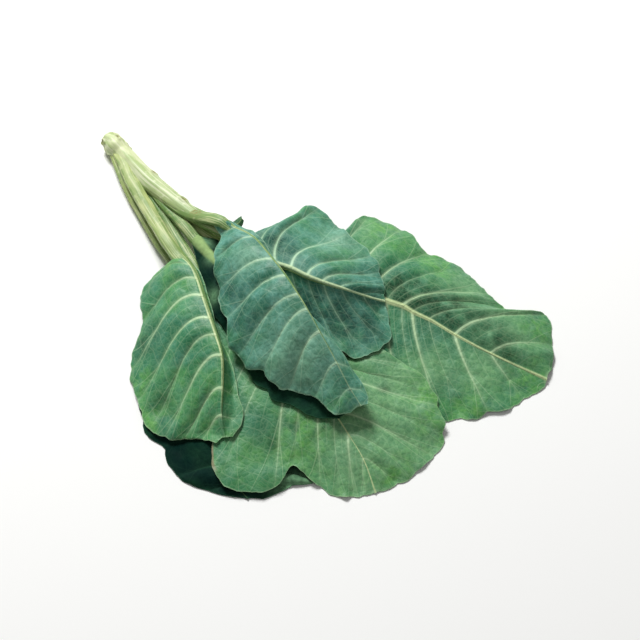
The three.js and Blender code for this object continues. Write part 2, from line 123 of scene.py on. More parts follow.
# Stalk
CAD_STALK_SIDES = 16
CAD_STALK_STEP = 9
STALK_SIDES = 64
STALK_STEP = 1.5
STALK_RIDGES = 0.012  # height of the fine ridges along it, in radii
STALK_LUMPS = [(11, 0.5, 0)]
STALK_SEED = 40
STALK_GREEN = (0.65, 70, 170)  # how green it gets, and from where to where along it
FINE = 400  # steps in which the length of a curve is measured

# A leaf scar on the stalk, all in sizes of the scar
SCAR_LONG = 1.3  # how much longer than wide it is
LIP = (0.75, 0.3, 0.3)  # place, width and height of its raised rim
HOLLOW = (0.5, 0.1)  # width and depth of its middle
STAINED = 0.8  # width of its stain

# The relief map of everything that has been laid down so far
CELL = 2
MAP_X = (-60, 640)
MAP_Y = (-300, 260)

CREASE = 50  # degrees between two faces from which the edge between them stays crisp

# Places in a leaf's list of materials, after its upper face, and in the stalk's after its rind
UNDERSIDE = 1
STEM_SKIN = 2
CUT_END = 1

# Seeds of the leaves lie further apart than the most that is added to one
FIRST_SEED = 3
SEED_STEP = 10

# Studio lights: direction from the bunch, distance and width in metres, watts
KEY_LIGHT = ((-0.74, 0.34, 0.88), 3.2, 1, 122)
FILL_LIGHT = ((0.6, -0.1, 1.2), 2.2, 1.6, 3)
ROOM_LIGHT = 0.2
FLOOR_REACH = 6  # metres from its middle to its sides
FLOOR_DROP = 0.0004  # metres that it lies below the bunch, so that the two never flicker

# The stalk from its cut end: centre x, y, z and radius
STALK = [
    (-5, 2, 9.2, 9.4),
    (4, 2, 10.6, 11.2),
    (11, 1, 11, 12.2),
    (22, 0, 10.2, 10.8),
    (41, -3, 11, 11.4),
    (77, -8, 15.5, 11.6),
    (112, -10, 21.5, 10.8),
    (140, -11, 27, 9.4),
    (160, -11, 32, 7),
]

# Scars of leaves that were picked off: share of the way along, turn round the stalk, size
SCARS = [
    (0.03, 150, 4.2),
    (0.06, 40, 4),
    (0.14, 200, 5),
    (0.2, 60, 3.4),
    (0.37, 20, 4),
    (0.62, 35, 4.6),
    (0.84, 50, 5),
]

# Each leaf, lowest first. Bow, fall, arch, puff and how bold veins are have two values: the
# first is for the +Y side, the second for the -Y side.
#
# rib: half width of the midrib's pale line at its foot and at its tip, share of the blade's
#   length where it starts to fade, and how pale it is at its foot.
# radius, stem: the round leaf stem, and its centre line from inside the stalk to the blade.
# wave: height of the margin's waves, and the turn at which they start.
# bow: how far a side vein sags back towards the stem, as a share of its length.
# fall: how the blade drops from midrib to margin, below 1 early and above 1 late.
# arch, puff: how far a whole side swells up, and how much it swells between veins against PUFF.
# bloom: how much of the blade is under grey-blue wax.
# fresh, pale, deep, worn: spots of young green, of painted light, of painted shade and of brown margin.
#   Each is x, y and size.
# nicks: bays in the margin. Each is x, y, size and depth, and stands out where that is negative.
# green: how green the stem is before it reaches the blade.
# scars: marks on the stem. Each is x, y and size.
# rows: pairs of side veins. Each is where the pair leaves the midrib, where it meets the margin
#   on the +Y side and on the -Y side, and how bold the two veins are. The first row is the foot
#   of the blade and the last is its tip.
LEAVES = [
    {
        "name": "under",
        "rib": (2.0, 0.7, 0.7, 1),
        "slot": "leaf_shaded",
        "radius": 5.2,
        "wave": (3, 2.2),
        "bow": (0.1, 0.1),
        "fall": (1.35, 1.35),
        "arch": (0, 0),
        "bloom": 0.2,
        "puff": (1, 1),
        "fresh": [],
        "pale": [(440, -160, 15), (458, -142, 16)],
        "nicks": [(319, -219, 8, 4), (370, -225, 8, 3)],
        "worn": [],
        "deep": [(330, -190, 40)],
        "green": 0.1,
        "scars": [],
        "stem": [(6, -2, 10), (22, -10, 9), (43, -20, 9), (70, -31, 8), (109, -44, 8), (151, -57, 10)],
        "rows": [
            [(192, -63, 12), (193, -59, 11), (191, -67, 11), (0.5, 0.5)],
            [(223, -85, 11), (235, -58, 6), (205, -109, 4), (0.5, 0.5)],
            [(258, -110, 10), (288, -65, 4), (228, -149, 0), (0.5, 0.5)],
            [(294, -133, 9), (345, -77, 2), (256, -185, -1), (0.5, 0.5)],
            [(327, -154, 8), (392, -95, 0), (284, -211, -2), (0.5, 0.5)],
            [(359, -173, 7), (431, -116, -2), (316, -219, -2), (0.5, 0.5)],
            [(387, -188, 5), (460, -132, -2), (355, -228, -2), (0.5, 0.5)],
            [(406, -195, 3), (446, -156, -1), (389, -218, -2), (0.5, 0.5)],
            [(424, -197, 1), (435, -186, -1), (414, -204, -1), (0.5, 0.5)],
        ],
    },
    {
        "name": "right",
        "rib": (4.6, 1.7, 1, 1),
        "slot": "leaf_green",
        "radius": 6.6,
        "wave": (4, 3.1),
        "bow": (0.08, 0.04),
        "fall": (1.5, 1.3),
        "arch": (9, 0),
        "bloom": 0.25,
        "puff": (0.6, 0.3),
        "fresh": [(508, 152, 18), (549, 94, 26), (521, 30, 24), (382, 134, 22), (312, 127, 22)],
        "pale": [(461, 34, 24), (503, 66, 26), (497, 128, 40), (304, 113, 18), (425, 128, 30)],
        "nicks": [
            (345, 135, 10, 5),
            (372, 150, 8, -2),
            (421, 148, 9, 6),
            (456, 150, 10, 3),
            (519, 160, 8, 2),
        ],
        "worn": [],
        "deep": [
            (371, 74, 17),
            (388, 80, 20),
            (414, 88, 24),
            (440, 97, 24),
            (480, 107, 18),
            (507, 108, 16),
        ],
        "green": 0.35,
        "scars": [],
        "stem": [(76, -9, 15), (112, -10, 19), (146, -13, 21), (182, -13, 23), (228, -1, 28)],
        "rows": [
            [(274, 25, 32), (273, 32, 31), (276, 21, 31), (0.5, 0.5)],
            [(302, 31, 33), (284, 92, 22), (359, -22, 12), (0.7, 0.3)],
            [(326, 39, 33), (285, 126, 16), (403, -36, 9), (0.8, 0.2)],
            [(346, 45, 32), (320, 144, 12), (437, -37, 6), (0.9, 0.5)],
            [(362, 51, 30), (362, 140, 9), (459, -31, 5), (1.0, 0.3)],
            [(378, 57, 28), (401, 156, 7), (476, -22, 4), (0.3, 0.9)],
            [(393, 65, 26), (443, 148, 5), (491, -11, 3), (1.0, 0.3)],
            [(405, 68, 24), (465, 151, 4), (504, 2, 2), (0.3, 1.0)],
            [(423, 74, 22), (485, 159, 3), (519, 20, 1), (0.4, 0.2)],
            [(454, 81, 18), (501, 174, 2), (534, 43, 0), (1.0, 1.0)],
            [(494, 93, 12), (530, 151, 1), (551, 82, -1), (0.8, 0.6)],
            [(554, 115, 3), (549, 130, 0), (557, 108, 0), (0.5, 0.5)],
        ],
    },
    {
        "name": "front",
        "rib": (2.2, 0.8, 0.9, 1),
        "slot": "leaf_green",
        "radius": 6.8,
        "wave": (4, 1.3),
        "bow": (0.1, 0.05),
        "fall": (1.35, 1.35),
        "arch": (3, 1),
        "bloom": 0.2,
        "puff": (0.4, 0.35),
        "fresh": [(421, -118, 24), (509, -2, 26), (517, -79, 24), (475, 12, 18)],
        "pale": [(476, -21, 66), (495, -79, 64), (498, 10, 50)],
        "nicks": [(498, 15, 8, 4), (405, -192, 7, 3), (517, -70, 9, 3), (488, -128, 8, -2)],
        "worn": [(446, -120, 9), (364, -186, 9), (376, -196, 8)],
        "deep": [
            (398, -136, 20),
            (412, -108, 14),
            (428, -92, 11),
            (430, -37, 6),
            (443, -18, 7),
            (426, -50, 6),
        ],
        "green": 0.9,
        "scars": [],
        "stem": [(44, -5, 11), (72, -13, 12), (103, -21, 13), (139, -32, 14), (174, -44, 16)],
        "rows": [
            [(208, -55, 18), (209, -50, 17), (207, -60, 17), (0.5, 0.5)],
            [(246, -65, 21), (258, -30, 16), (252, -92, 14), (0.5, 0.5)],
            [(285, -70, 23), (316, -20, 14), (314, -123, 11), (0.5, 0.5)],
            [(318, -69, 25), (380, 2, 11), (354, -177, 6), (0.3, 0.5)],
            [(342, -68, 27), (440, 18, 7), (390, -204, 2), (0.9, 0.5)],
            [(362, -68, 27), (476, 18, 5), (436, -171, 2), (0.3, 0.9)],
            [(382, -69, 27), (496, 10, 4), (434, -142, 6), (0.9, 0.4)],
            [(404, -71, 25), (517, -8, 2), (467, -137, 1), (0.3, 0.8)],
            [(428, -75, 21), (525, -32, 0), (487, -129, -1), (0.8, 0.4)],
            [(453, -81, 17), (526, -58, -1), (498, -120, -2), (0.3, 0.8)],
            [(480, -88, 11), (521, -80, -2), (505, -113, -3), (0.4, 0.5)],
            [(512, -103, 1), (516, -96, -1), (508, -110, -1), (0.4, 0.4)],
        ],
    },
    {
        "name": "tucked",
        "rib": (5.5, 0.5, 0.4, 1),
        "slot": "leaf_shaded",
        "radius": 6.6,
        "wave": (3, 0.4),
        "bow": (0.1, 0.1),
        "fall": (1.35, 1.35),
        "arch": (0, 0),
        "bloom": 0.3,
        "puff": (1, 1),
        "fresh": [],
        "pale": [(190, -25, 7), (210, -38, 7), (242, -69, 9)],
        "nicks": [(361, -108, 7, 3)],
        "worn": [],
        "deep": [],
        "green": 0.9,
        "scars": [],
        "stem": [(62, -9, 15), (96, -15, 18), (125, -20, 21), (158, -26, 27)],
        "rows": [
            [(176, -29, 28), (176, -25, 27), (176, -34, 27), (0.4, 0.4)],
            [(200, -34, 32), (199, -14, 30), (199, -49, 26), (0.4, 0.4)],
            [(234, -39, 37), (242, -12, 31), (232, -66, 28), (0.5, 0.5)],
            [(277, -48, 38), (292, -14, 31), (284, -88, 27), (0.5, 0.5)],
            [(322, -57, 38), (342, -20, 30), (326, -101, 26), (0.5, 0.5)],
            [(361, -64, 36), (384, -27, 26), (361, -108, 24), (0.5, 0.5)],
            [(390, -69, 33), (413, -37, 24), (389, -101, 23), (0.5, 0.5)],
            [(415, -71, 29), (433, -50, 23), (415, -93, 22), (0.5, 0.5)],
            [(436, -71, 24), (438, -66, 22), (435, -77, 22), (0.5, 0.5)],
        ],
    },
    {
        "name": "upper",
        "rib": (2.8, 1.3, 1, 1),
        "slot": "leaf_blue_green",
        "radius": 6.4,
        "wave": (4.5, 2.6),
        "bow": (0.12, 0.05),
        "fall": (1.4, 0.75),
        "arch": (4, 0),
        "bloom": 0.6,
        "puff": (0.9, 0.5),
        "fresh": [(240, 70, 16), (317, 56, 14)],
        "pale": [(300, 68, 24)],
        "nicks": [(243, 87, 6, -2), (264, 81, 7, 4), (310, 75, 7, 3), (340, 76, 7, -2), (371, 60, 8, 4)],
        "worn": [],
        "deep": [
            (250, 14, 16),
            (268, 14, 16),
            (312, -16, 18),
            (340, -8, 22),
            (368, 4, 22),
            (388, 14, 14),
        ],
        "green": 0.8,
        "scars": [(118, -5, 5), (133, -5, 6), (141, -7, 6), (149, -8, 6), (158, -9, 6)],
        "stem": [(92, -10, 19), (126, -13, 25), (158, -12, 32), (190, -8, 39)],
        "rows": [
            [(222, -2, 45), (221, 4, 44), (223, -7, 44), (0.5, 0.5)],
            [(248, -2, 52), (234, 57, 35), (272, -25, 40), (0.8, 0.4)],
            [(272, -3, 57), (244, 89, 29), (318, -31, 33), (1.0, 0.5)],
            [(291, 2, 61), (295, 83, 28), (358, -27, 28), (1.0, 0.4)],
            [(311, 6, 63), (332, 81, 28), (388, -21, 25), (1.0, 0.3)],
            [(327, 13, 61), (352, 73, 29), (404, -6, 22), (0.9, 0.5)],
            [(343, 23, 56), (365, 66, 30), (412, 18, 21), (0.6, 0.3)],
            [(362, 37, 46), (373, 61, 31), (399, 38, 22), (0.3, 0.4)],
            [(379, 53, 32), (375, 57, 31), (385, 49, 30), (0.3, 0.3)],
        ],
    },
    {
        "name": "left",
        "rib": (1.6, 0.6, 0.62, 1),
        "slot": "leaf_green",
        "radius": 8,
        "wave": (4, 1.9),
        "bow": (0.05, 0.17),
        "fall": (0.7, 1.3),
        "arch": (0, 0),
        "bloom": 0.35,
        "puff": (1, 0.85),
        "fresh": [(252, -185, 16), (295, -208, 16), (368, -188, 14), (180, -70, 14)],
        "pale": [],
        "nicks": [(279, -201, 6, 5), (208, -144, 8, 2), (179, -111, 8, 2), (344, -196, 7, 4)],
        "worn": [],
        "deep": [(290, -190, 16), (225, -150, 16)],
        "green": 0.0,
        "scars": [],
        "stem": [(14, 0, 11), (35, -9, 15), (61, -21, 18), (95, -33, 22), (131, -45, 27), (158, -54, 31)],
        "rows": [
            [(181, -60, 34), (181, -55, 33), (180, -65, 33), (0.4, 0.4)],
            [(203, -63, 42), (201, -55, 26), (170, -92, 12), (0.5, 0.5)],
            [(221, -70, 44), (220, -61, 22), (199, -133, 6), (0.5, 0.8)],
            [(241, -81, 46), (238, -71, 20), (232, -180, 2), (0.5, 1.0)],
            [(267, -95, 48), (263, -85, 20), (265, -199, 0), (0.5, 1.0)],
            [(286, -105, 48), (283, -96, 20), (298, -211, -1), (0.5, 0.7)],
            [(307, -117, 47), (307, -106, 19), (316, -209, -1), (0.5, 1.0)],
            [(331, -140, 38), (342, -129, 16), (332, -198, 1), (0.3, 1.0)],
            [(349, -159, 28), (364, -144, 13), (347, -185, 3), (0.4, 0.9)],
            [(365, -170, 15), (370, -164, 11), (362, -180, 8), (0.3, 0.3)],
        ],
    },
    {
        "name": "inner",
        "rib": (0.7, 0.3, 0.9, 1),
        "slot": "leaf_green",
        "radius": 3.4,
        "wave": (1.5, 0.2),
        "bow": (0.05, 0.05),
        "fall": (1.35, 1.35),
        "arch": (0, 0),
        "bloom": 0.2,
        "puff": (1, 1),
        "fresh": [],
        "pale": [(203, 10, 9)],
        "nicks": [(206, 16, 3, 2)],
        "worn": [],
        "deep": [],
        "green": 0.7,
        "scars": [],
        "stem": [(128, -8, 27), (162, -2, 32)],
        "rows": [
            [(196, 2, 37), (193, 5, 36), (198, 1, 36), (0.1, 0.1)],
            [(200, 6, 41), (195, 9, 40), (204, 5, 39), (0.1, 0.1)],
            [(203, 11, 45), (198, 14, 45), (207, 10, 43), (0.1, 0.1)],
            [(204, 15, 50), (201, 17, 49), (207, 15, 48), (0.1, 0.1)],
        ],
    },
    {
        "name": "centre",
        "rib": (0.8, 0.5, 0.9, 0),
        "slot": "leaf_blue_green",
        "radius": 7,
        "wave": (4, 1.8),
        "bow": (0.05, 0.1),
        "fall": (0.7, 1.3),
        "arch": (0, 0),
        "bloom": 0.85,
        "puff": (1, 1),
        "fresh": [(430, -69, 14)],
        "pale": [(253, -25, 18), (368, -72, 40)],
        "nicks": [(348, -99, 8, 5), (377, -95, 8, -3), (394, -79, 8, 4), (434, -79, 8, -3)],
        "worn": [],
        "deep": [(250, 8, 14), (262, -58, 18), (300, -74, 14)],
        "green": 0.75,
        "scars": [(118, -5, 5), (133, -5, 6), (141, -7, 6), (149, -8, 6), (158, -9, 6)],
        "stem": [(86, -11, 18), (118, -14, 25), (150, -13, 33)],
        "rows": [
            [(185, -6, 46), (185, -2, 45), (185, -11, 45), (0.5, 0.5)],
            [(210, -3, 56), (213, 8, 48), (203, -16, 47), (0.5, 0.5)],
            [(237, -3, 68), (232, 9, 48), (220, -40, 48), (0.5, 0.6)],
            [(277, -13, 80), (272, -3, 50), (246, -61, 44), (0.5, 0.9)],
            [(302, -19, 82), (297, -9, 50), (279, -83, 41), (0.5, 0.9)],
            [(327, -26, 82), (323, -16, 50), (315, -101, 39), (0.5, 0.8)],
            [(345, -31, 80), (343, -20, 48), (348, -102, 37), (0.5, 0.8)],
            [(370, -38, 73), (376, -27, 54), (378, -91, 36), (0.7, 1.0)],
            [(403, -47, 61), (411, -34, 46), (406, -80, 36), (0.6, 0.7)],
            [(429, -54, 49), (439, -41, 40), (429, -79, 35), (0.5, 0.5)],
            [(447, -57, 40), (450, -50, 39), (443, -68, 36), (0.5, 0.5)],
        ],
    },
]


def smooth_curve(points, shares):
    """Places on the centripetal curve through the points. Each span takes an equal share."""
    p = np.asarray(points, float)
    p = np.vstack([2 * p[0] - p[1], p, 2 * p[-1] - p[-2]])
    spans = len(p) - 3
    place = np.clip(np.asarray(shares, float), 0, 1) * spans
    k = np.minimum(place.astype(int), spans - 1)
    w = (place - k)[:, None]
    gap = np.sum((p[1:] - p[:-1]) ** 2, 1)[:, None] ** 0.25
    before, here, after = gap[k], gap[k + 1], gap[k + 2]
    a, b, c, d = p[k], p[k + 1], p[k + 2], p[k + 3]
    leave = ((b - a) / before - (c - a) / (before + here) + (c - b) / here) * here
    arrive = ((c - b) / here - (d - b) / (here + after) + (d - c) / after) * here
    square = -3 * b + 3 * c - 2 * leave - arrive
    cube = 2 * b - 2 * c + leave + arrive
    return b + leave * w + square * w**2 + cube * w**3


def even_curve(points, step):
    """Places about one step apart along the curve through the points."""
    fine = smooth_curve(points, np.linspace(0, 1, FINE))
    run = np.concatenate([[0], np.cumsum(np.linalg.norm(np.diff(fine, axis=0), axis=1))])
    wanted = np.linspace(0, run[-1], max(2, round(run[-1] / step)) + 1)
    return np.stack([np.interp(wanted, run, fine[:, k]) for k in range(3)], 1)


def unit(vectors):
    """The vectors at length 1."""
    return vectors / np.maximum(np.linalg.norm(vectors, axis=-1, keepdims=True), 1e-12)


def midrib_radius(leaf, share):
    """Radius of the midrib as the solids have it, for each share of the blade's length."""
    left = np.maximum(0, 1 - share / MIDRIB_END)
    return MIDRIB_THIN + (leaf["radius"] - MIDRIB_THIN) * left**MIDRIB_TAPER


def ease(values, start, end):
    """From 0 at the start to 1 at the end, with soft turns."""
    x = np.clip((np.asarray(values, float) - start) / (end - start), 0, 1)
    return x * x * (3 - 2 * x)


def midrib_shape(leaf, share):
    """Radius of the midrib, and how far its centre lies under the blade."""
    past_foot = ease(share, 0, RIB_FOOT)
    radius = midrib_radius(leaf, share) * (1 + (RIB_LEAN - 1) * past_foot)
    sink = RIB_SINK[0] + (RIB_SINK[1] - RIB_SINK[0]) * past_foot
    return radius, radius * sink


def wrinkles(points, size, seed):
    """A soft random height from -1 to 1 for each point, with bumps about so many millimetres wide."""
    flat = points.reshape(-1, 3) / size
    values = [noise.noise(Vector((x, y, seed))) for x, y, _ in flat]
    return np.array(values).reshape(points.shape[:-1])


def bumps(points, kinds, seed):
    """Some kinds of wrinkles together. Each is width, height and what is added to the seed."""
    return sum(wrinkles(points, width, seed + more) * height for width, height, more in kinds)


def blade_middle(leaf, seed):
    """The middle surface of a blade as a grid of points, with what a place's veins need."""
    rows = np.array([row[:3] for row in leaf["rows"]], float)
    veins = len(rows) - 1
    share = np.linspace(0, 1, veins * STEPS_PER_VEIN + 1)
    half = np.linspace(0, 1, STEPS_ACROSS + 1) ** CROWDING
    across = np.concatenate([-half[:0:-1], half])
    mid, plus_side, minus_side = (smooth_curve(rows[:, k], share) for k in range(3))
    ahead = smooth_curve(rows[:, 0], share + NUDGE)
    behind = smooth_curve(rows[:, 0], share - NUDGE)
    along = unit((ahead - behind) * (1, 1, 0))[:, None, :]
    side = np.where(across > 0, 1.0, -1.0)[None, :]
    edge = np.where(side[..., None] > 0, plus_side[:, None, :], minus_side[:, None, :])
    root = mid[:, None, :]
    out = (edge - root) * (1, 1, 0)
    reach = np.linalg.norm(out, axis=-1)
    u = np.abs(across)[None, :]
    t = share[:, None]
    full = np.minimum(1, reach / BROAD)
    height, phase = leaf["wave"]
    here = np.minimum(t * veins, veins - 1).astype(int)
    steps = np.linalg.norm(np.diff(rows, axis=0), axis=-1)[here]
    pitch = steps[..., 0] * (1 - u) + np.where(side > 0, steps[..., 1], steps[..., 2]) * u
    between = np.abs(np.sin(np.pi * t * veins)) * np.minimum(1, pitch / ROOMY)
    uneven = np.sin(PAIR_TURN * np.floor(t * veins) + SIDE_TURN * side + phase)
    between = between * (1 + UNEVEN * uneven)
    bow, fall, arch, puff = (np.where(side > 0, *leaf[k]) for k in ("bow", "fall", "arch", "puff"))
    points = root + out * u[..., None]
    points += out * (u**4 * SCALLOP * full * between / np.maximum(reach, 1e-9))[..., None]
    points -= along * (bow * reach * BOW_SCALE * u * (1 - u) ** 2)[..., None]
    wave = np.sin(2 * np.pi * t * veins / VEINS_PER_WAVE + phase * side + side)
    points[..., 2] = root[..., 2] + (edge - root)[..., 2] * u**fall
    points[..., 2] += full * arch * np.sin(np.pi * u)
    swell = between**PUFF_BROAD * np.sin(np.pi * u) ** PUFF_ROUND
    points[..., 2] += full * puff * PUFF * swell
    points[..., 2] += full * height * u**3 * wave
    points += unit(out) * (bumps(points, RAGGED, seed) * full * u**AT_MARGIN)[..., None]
    for *spot, depth in leaf["nicks"]:
        points -= unit(out) * (spot_on(points, *spot) * depth * u**AT_MARGIN)[..., None]
    wrinkled = bumps(points, WRINKLED, seed) * np.minimum(1, u * WRINKLE_START)
    points[..., 2] += full * wrinkled
    points[..., 2] += full * u**NEAR_MARGIN * bumps(points, MARGIN_WAVY, seed)
    return {"points": points, "share": share, "across": across, "veins": veins, "reach": reach}


def grid_normals(points):
    """Upward normals of a grid of points."""
    down = np.gradient(points, axis=0)
    aside = np.gradient(points, axis=1)
    normals = unit(np.cross(down, aside))
    return normals * np.where(normals[..., 2:] < 0, -1, 1)


def blur(values):
    """Each value of a grid drawn halfway to the mean of its four neighbours."""
    wide = np.pad(values, 1, mode="edge")
    around = wide[:-2, 1:-1] + wide[2:, 1:-1] + wide[1:-1, :-2] + wide[1:-1, 2:]
    return values * 0.5 + around * 0.125


class Relief:
    """The height of the pile so far over a grid of small square cells."""

    def __init__(self):
        wide = round((MAP_X[1] - MAP_X[0]) / CELL)
        deep = round((MAP_Y[1] - MAP_Y[0]) / CELL)
        self.height = np.zeros((wide, deep))

    def cells(self, points):
        """Column and row of the cell that each point lies in."""
        i = np.round((points[..., 0] - MAP_X[0]) / CELL).astype(int)
        j = np.round((points[..., 1] - MAP_Y[0]) / CELL).astype(int)
        return i, j

    def lay(self, points):
        """Adds a piece's upper points, and counts the cells beside them as under it too."""
        laid = np.zeros_like(self.height)
        np.maximum.at(laid, self.cells(points), points[..., 2])
        spread = laid.copy()
        for di in (-1, 0, 1):
            for dj in (-1, 0, 1):
                spread = np.maximum(spread, np.roll(laid, (di, dj), (0, 1)))
        self.height = np.maximum(self.height, spread)

    def under(self, points):
        """Height of the pile at each point."""
        return self.height[self.cells(points)]


def settle(leaf, blade, relief):
    """Raises a blade until it lies clear on what is under it, and lets the raised parts ease out."""
    points = blade["points"]
    start = points[..., 2].copy()
    middle = len(blade["across"]) // 2
    radius, sunk = midrib_shape(leaf, blade["share"])
    distance = np.abs(blade["across"])[None, :] * blade["reach"]
    near = np.clip(1 - distance / np.maximum(radius, 1)[:, None], 0, 1)
    near[:, middle] = 1
    depth = near**0.5 * (radius * RIB_ROUND + sunk)[:, None]
    under = relief.under(points)
    for _ in range(SETTLE_ROUNDS):
        steep = np.maximum(grid_normals(points)[..., 2], STEEPEST)
        room = depth + BLADE / 2 / steep
        need = np.where(under > 0, under + CLEAR + room - start, NO_PILE)
        need = np.maximum(need, room - start)
        lift = np.maximum(need, 0)
        for _ in range(EASE_PASSES):
            lift = np.maximum(blur(lift), need)
        lift = np.maximum(blur(blur(lift)), 0)
        points[..., 2] = start + lift
    points[..., 2] = np.maximum(points[..., 2], np.maximum(depth, BLADE * ON_TABLE))


def stem_path(leaf, blade):
    """Centres and radii from inside the stalk to the blade and on under its midrib."""
    share = blade["share"]
    middle = len(blade["across"]) // 2
    radius, sunk = midrib_shape(leaf, share)
    rib = blade["points"][:, middle].copy()
    rib[:, 2] -= sunk
    keep = (share <= MIDRIB_END) & (np.arange(len(share)) % LINES_PER_RING == 0)
    stem = even_curve([*leaf["stem"], rib[0]], STEM_STEP)[:-1]
    centres = np.vstack([stem, rib[keep][1:]])
    radii = np.concatenate([np.full(len(stem), float(leaf["radius"])), radius[keep][1:]])
    return centres, radii


def bar(centres, radii, sides, low, high, ridges=0.0):
    """Rings of points round a path: a round or flattened bar, with fine ridges along it."""
    along = np.gradient(centres, axis=0)
    along[0] = centres[1] - centres[0]
    along[-1] = centres[-1] - centres[-2]
    along = unit(along)
    aside = unit(np.cross((0, 0, 1), along))
    up = np.cross(along, aside)
    turn = 2 * np.pi * (np.arange(sides) + 0.5) / sides
    rise = np.sin(turn) * np.where(np.sin(turn) > 0, high, low)
    fine, broad, lower = RIDGES
    swell = np.cos(turn * fine + radii[0]) + lower * np.cos(turn * broad + 1 + 3 * radii[0])
    swell = 1 + ridges * swell
    wide = (np.cos(turn) * swell)[None, :, None] * radii[:, None, None]
    tall = (rise * swell)[None, :, None] * radii[:, None, None]
    return centres[:, None, :] + aside[:, None, :] * wide + up[:, None, :] * tall


def add_grid(bm, points, layers, wrap=False):
    """Adds a grid to the mesh at the given points, closed into a tube if it wraps round."""
    if wrap:
        points = np.concatenate([points, points[:, :1]], 1)
        layers = {k: np.concatenate([v, v[:, :1]], 1) for k, v in layers.items()}
    lines, columns = points.shape[:2]
    stores = {k: bm.verts.layers.float.get(k) or bm.verts.layers.float.new(k) for k in layers}
    made = bmesh.ops.create_grid(bm, x_segments=lines - 1, y_segments=columns - 1, size=1)
    verts = made["verts"]
    for vert in verts:
        i = round((vert.co.x + 1) / 2 * (lines - 1))
        j = round((vert.co.y + 1) / 2 * (columns - 1))
        vert.co = points[i, j] * MM
        for k, store in stores.items():
            vert[store] = layers[k][i, j]
    if wrap:
        bmesh.ops.remove_doubles(bm, verts=verts, dist=1e-7)
        verts = [v for v in verts if v.is_valid]
        rims = {e for v in verts for e in v.link_edges if e.is_boundary}
        bmesh.ops.holes_fill(bm, edges=list(rims), sides=0)
    return verts


def finish_mesh(bm, name, materials):
    """Turns the mesh into a smooth shaded object whose sharp rims stay crisp."""
    bmesh.ops.recalc_face_normals(bm, faces=bm.faces)
    for face in bm.faces:
        face.smooth = True
    for edge in bm.edges:
        edge.smooth = edge.calc_face_angle(0) < math.radians(CREASE)
    mesh = bpy.data.meshes.new(name)
    bm.to_mesh(mesh)
    bm.free()
    for material in materials:
        mesh.materials.append(material)
    piece = bpy.data.objects.new(name, mesh)
    bpy.context.scene.collection.objects.link(piece)
    return piece


def vein_layers(leaf, blade, seed):
    """What the leaf's materials need at each point of its blade, by the name of its layer.

    A layer in mm is the distance from a kind of vein, but for mid_mm, which is in half widths of
    the midrib's line. bold is the strength of the nearest side vein, rung counts the cross veins,
    u is the share of the way from midrib to margin, and the rest are 1 in full and 0 for none.
    """
    rng = np.random.default_rng(seed)
    points, across, veins = blade["points"], blade["across"], blade["veins"]
    per_vein = np.gradient(points, axis=0) * STEPS_PER_VEIN
    per_reach = np.gradient(points, across, axis=1)
    area = np.linalg.norm(np.cross(per_vein, per_reach), axis=-1)
    pitch = area / np.maximum(np.linalg.norm(per_reach, axis=-1), 1e-6)
    length = area / np.maximum(np.linalg.norm(per_vein, axis=-1), 1e-6)
    v = (blade["share"] * veins)[:, None]
    u = np.abs(across)[None, :]
    nearest = np.round(v).astype(int)
    off = v - nearest
    side = (across > 0).astype(int)[None, :]
    strengths = np.array([row[3] for row in leaf["rows"]])
    forks = rng.uniform(*FORKS, (veins + 1, 2, 2))
    ahead = (off > 0).astype(int)
    starts = forks[nearest, side, ahead]
    slope = FORK_SPREAD / (1 - starts)
    lean = 1 / np.sqrt(1 + (slope * pitch / np.maximum(length, 1e-6)) ** 2)
    rungs = u * blade["reach"] / RUNG_GAP + bumps(points, RUNG_BENT, seed)
    rungs = rungs + rng.uniform(0, 1, (veins + 1, 2))[np.floor(v).astype(int), side]
    mid = points[:, len(across) // 2][:, None, :]
    *_, fade_start, foot_show = leaf["rib"]
    # Spots of young green and brown margin, and of painted light (pale) and painted shade (deep).
    spots = {
        kind: np.minimum(most, sum((spot_on(points, *spot) for spot in leaf[kind]), 0 * area))
        for kind, most in SPOTS.items()
    }
    layers = {
        "mid_mm": np.linalg.norm(points - mid, axis=-1) / rib_line(leaf, blade["share"])[:, None],
        "side_mm": np.abs(off) * pitch,
        "fork_mm": (np.abs(off) - slope * np.maximum(u - starts, 0)) * pitch * lean,
        "minor_mm": (0.5 - np.abs(off)) * pitch,
        "bold": strengths[nearest, 1 - side],
        "rung": rungs,
        "u": u + 0 * v,
        "past_fade": np.clip(v / veins - fade_start, 0, 1) + 0 * u,
        "rib_show": np.minimum(1, foot_show + RIB_RETURN * (v / veins) ** 2) + 0 * u,
        "edge_mm": (1 - u) * blade["reach"],
        "wax": np.full_like(area, leaf["bloom"]),
        **spots,
    }
    return {k: np.broadcast_to(x, area.shape).astype(float) for k, x in layers.items()}


def spot_on(points, x, y, size):
    """A round patch that fades out, from 1 in its middle to 0."""
    return np.exp(-(((points[..., 0] - x) ** 2 + (points[..., 1] - y) ** 2) / size**2))


def rib_line(leaf, share):
    """Half the width of the pale midrib line that shows on the upper face."""
    wide, narrow, *_ = leaf["rib"]
    return wide + (narrow - wide) * np.clip(share / RIB_NARROWED, 0, 1)


def stem_layers(leaf, centres, radii, rings):
    """What the stem's material needs at each point of its rings, by the name of its layer."""
    run = np.concatenate([[0], np.cumsum(np.linalg.norm(np.diff(centres, axis=0), axis=1))])
    stem_run = run[radii < leaf["radius"] - 1e-6][0]
    turn = np.linspace(0, 1, STEM_SIDES, endpoint=False)[None, :]
    greening = ease(run, *(stem_run * np.array(STEM_GREENS)))
    scarred = sum((spot_on(rings, *spot) for spot in leaf["scars"]), 0 * rings[..., 0])
    return {
        "run_mm": run[:, None] + 0 * turn,
        "scar": np.minimum(1, scarred),
        "turn": turn + 0 * run[:, None],
        "greening": (leaf["green"] + (1 - leaf["green"]) * greening)[:, None] + 0 * turn,
    }


